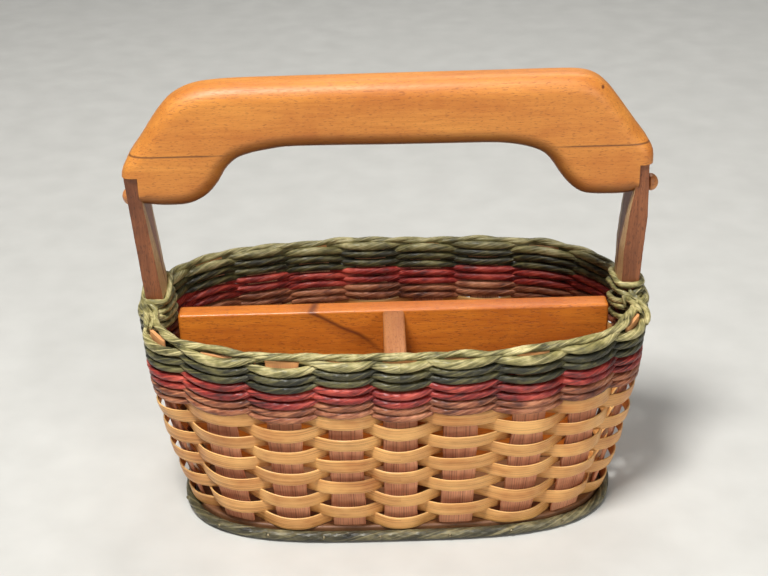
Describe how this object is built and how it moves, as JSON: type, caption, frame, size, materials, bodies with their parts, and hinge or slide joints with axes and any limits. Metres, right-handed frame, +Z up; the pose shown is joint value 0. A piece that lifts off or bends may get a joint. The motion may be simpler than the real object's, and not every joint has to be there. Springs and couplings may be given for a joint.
{
  "type": "divided easter basket",
  "caption": "Oval woven basket of flat reed and dyed twisted cord on wooden stakes, with two inner dividers and a fixed carved wooden grip on two pegged and lashed struts.",
  "frame": {"origin": "middle of the underside of the base board, on the surface that the basket stands on", "axes": "+Z up; +X along the basket's length, towards the right-hand handle strut; +Y across it, towards the single rear compartment"},
  "size_m": [0.305, 0.1715, 0.253],
  "materials": {
    "grip_wood": "satin varnish",
    "dark_wood": "satin",
    "divider_wood": "satin",
    "board_wood": "satin",
    "stake_wood": "raw, stained",
    "reed": "natural reed, satin",
    "tan_cord": "twisted paper rush",
    "red_cord": "dyed twisted paper rush",
    "green_cord": "dyed twisted paper rush"
  },
  "bodies": {
    "root": {"base_board": "board_wood", "base_cord": "green_cord", "stake_01": "stake_wood", "stake_02": "stake_wood", "stake_03": "stake_wood", "stake_04": "stake_wood", "stake_05": "stake_wood", "stake_06": "stake_wood", "stake_07": "stake_wood", "stake_08": "stake_wood", "stake_09": "stake_wood", "stake_10": "stake_wood", "stake_11": "stake_wood", "stake_12": "stake_wood", "stake_13": "stake_wood", "stake_14": "stake_wood", "stake_15": "stake_wood", "stake_16": "stake_wood", "stake_17": "stake_wood", "stake_18": "stake_wood", "reed_row_01": "reed", "reed_row_02": "reed", "reed_row_03": "reed", "reed_row_04": "reed", "reed_row_05": "reed", "reed_row_06": "reed", "reed_row_07": "reed", "reed_row_08": "reed", "reed_row_09": "reed", "reed_row_10": "reed", "tan_cord_row_1": "tan_cord", "tan_cord_row_2": "tan_cord", "red_cord_row_1": "red_cord", "red_cord_row_2": "red_cord", "green_cord_row_1": "green_cord", "green_cord_row_2": "green_cord", "green_cord_row_3": "green_cord", "rim_cord": "green_cord", "strut_left": "dark_wood", "strut_right": "dark_wood", "peg_left": "grip_wood", "peg_right": "grip_wood", "grip_beam": "grip_wood", "grip_block_left": "grip_wood", "grip_block_right": "grip_wood", "lashing_left": "green_cord", "lashing_right": "green_cord", "divider_long": "divider_wood", "divider_cross": "divider_wood"}
  },
  "joints": []
}
